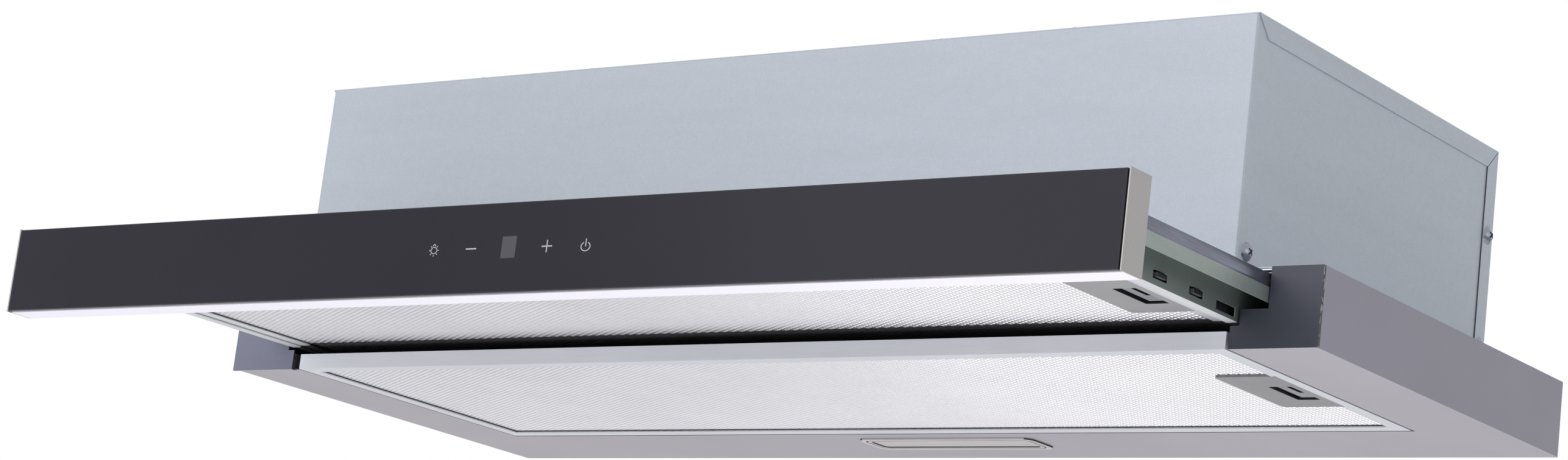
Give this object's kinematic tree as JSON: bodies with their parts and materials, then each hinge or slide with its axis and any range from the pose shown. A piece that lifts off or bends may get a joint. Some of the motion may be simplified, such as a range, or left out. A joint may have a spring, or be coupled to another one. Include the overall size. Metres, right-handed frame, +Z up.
{
  "type": "pull out range hood",
  "caption": "Slim pull out range hood for a wall cabinet, with a sliding glass-front visor, two hinged or latched grease filters, a twin fan blower and a round duct collar.",
  "frame": {"origin": "middle of the cabinet screw pattern, on the top face of the canopy that the cabinet floor rests on", "axes": "+X to the right seen from the front, +Y towards the wall, +Z up; the visor pulls out towards -Y"},
  "size_m": [0.898, 0.5465, 0.2415],
  "materials": {
    "canopy_steel": "satin",
    "galvanised": "matte",
    "zinc_screws": "satin",
    "slide_steel": "satin",
    "lamp_trim": "matte",
    "lamp_lens": "frosted",
    "board_white": "gloss",
    "plastic_white": "matte",
    "filter_aluminium": "satin",
    "mesh_aluminium": "satin",
    "latch_grey": "matte",
    "fascia_steel": "satin",
    "panel_glass": "gloss",
    "cap_grey": "satin",
    "plastic_black": "matte",
    "board_green": "gloss",
    "display_grey": "gloss",
    "arm_steel": "satin",
    "motor_steel": "matte",
    "rubber_black": "matte",
    "shaft_steel": "polished",
    "wheel_steel": "matte",
    "plunger_red": "matte"
  },
  "bodies": {
    "housing": {"canopy": "canopy_steel", "frame_plate": "galvanised", "casing_wrap": "galvanised", "casing_top": "galvanised", "casing_back": "galvanised", "casing_screws": "zinc_screws", "slide_channel_left": "slide_steel", "slide_channel_right": "slide_steel", "lamp_bezel": "lamp_trim", "lamp_lens": "lamp_lens", "lamp_board": "board_white", "lamp_housing": "plastic_white", "blower_wrap": "plastic_black", "blower_cheek_left": "plastic_black", "blower_cheek_right": "plastic_black", "motor": "motor_steel", "motor_plate": "galvanised", "motor_grommets": "rubber_black", "outlet_box": "plastic_black", "duct_collar": "plastic_black", "flap_pin": "shaft_steel", "control_box": "plastic_white", "power_board": "board_green", "motor_capacitor": "plastic_white", "lamp_driver": "plastic_white", "cable_gland": "plastic_black", "visor_switch": "plastic_black"},
    "visor": {"fascia_channel": "fascia_steel", "fascia_glass": "panel_glass", "fascia_cap_left": "cap_grey", "fascia_cap_right": "cap_grey", "fascia_back": "plastic_black", "touch_board": "board_green", "display_module": "display_grey", "arm_left": "arm_steel", "arm_right": "arm_steel", "visor_cover": "galvanised", "visor_rear_bar": "galvanised", "visor_filter_frame": "filter_aluminium", "visor_filter_mesh": "mesh_aluminium", "visor_latch_plate": "latch_grey", "slide_runner_left": "slide_steel", "slide_runner_right": "slide_steel"},
    "visor_latch": {"visor_latch_bar": "latch_grey"},
    "cage_left": {"ball_cage_left": "slide_steel"},
    "cage_right": {"ball_cage_right": "slide_steel"},
    "main_filter": {"main_filter_frame": "filter_aluminium", "main_filter_mesh": "mesh_aluminium", "main_latch_plate": "latch_grey"},
    "main_latch": {"main_latch_bar": "latch_grey"},
    "rotor": {"motor_shaft": "shaft_steel", "fan_wheel_left": "wheel_steel", "fan_wheel_right": "wheel_steel"},
    "flap_front_body": {"flap_front": "plastic_black"},
    "flap_rear_body": {"flap_rear": "plastic_black"},
    "plunger": {"switch_plunger": "plunger_red"}
  },
  "joints": [
    {"name": "visor_slide", "type": "slide", "parent": "housing", "child": "visor", "axis": [0, -1, 0], "range_m": [-0.196, 0]},
    {"name": "cage_left_roll", "type": "slide", "parent": "housing", "child": "cage_left", "axis": [0, -1, 0], "range_m": [-0.098, 0]},
    {"name": "cage_right_roll", "type": "slide", "parent": "housing", "child": "cage_right", "axis": [0, -1, 0], "range_m": [-0.098, 0]},
    {"name": "visor_latch_slide", "type": "slide", "parent": "visor", "child": "visor_latch", "axis": [-1, 0, 0], "range_m": [0, 0.005], "stiffness_N_per_m": 300, "springref_m": -0.005},
    {"name": "main_filter_hinge", "type": "hinge", "parent": "housing", "child": "main_filter", "pos_m": [-0.3805, -0.044, -0.049], "axis": [0, 1, 0], "range_deg": [0, 78]},
    {"name": "main_latch_slide", "type": "slide", "parent": "main_filter", "child": "main_latch", "axis": [-1, 0, 0], "range_m": [0, 0.005], "stiffness_N_per_m": 300, "springref_m": -0.005},
    {"name": "fan_spin", "type": "hinge", "parent": "housing", "child": "rotor", "pos_m": [0, -0.03, 0.072], "axis": [1, 0, 0], "continuous": true},
    {"name": "flap_front_swing", "type": "hinge", "parent": "housing", "child": "flap_front_body", "pos_m": [0, 0.015, 0.168], "axis": [-1, 0, 0], "range_deg": [0, 82]},
    {"name": "flap_rear_swing", "type": "hinge", "parent": "housing", "child": "flap_rear_body", "pos_m": [0, 0.015, 0.168], "axis": [1, 0, 0], "range_deg": [0, 82]},
    {"name": "switch_press", "type": "slide", "parent": "housing", "child": "plunger", "axis": [0, 1, 0], "range_m": [0, 0.002], "stiffness_N_per_m": 200, "springref_m": -0.003}
  ],
  "couplings": [
    {"joint": "cage_left_roll", "follows": "visor_slide", "ratio": 0.5},
    {"joint": "cage_right_roll", "follows": "visor_slide", "ratio": 0.5}
  ]
}
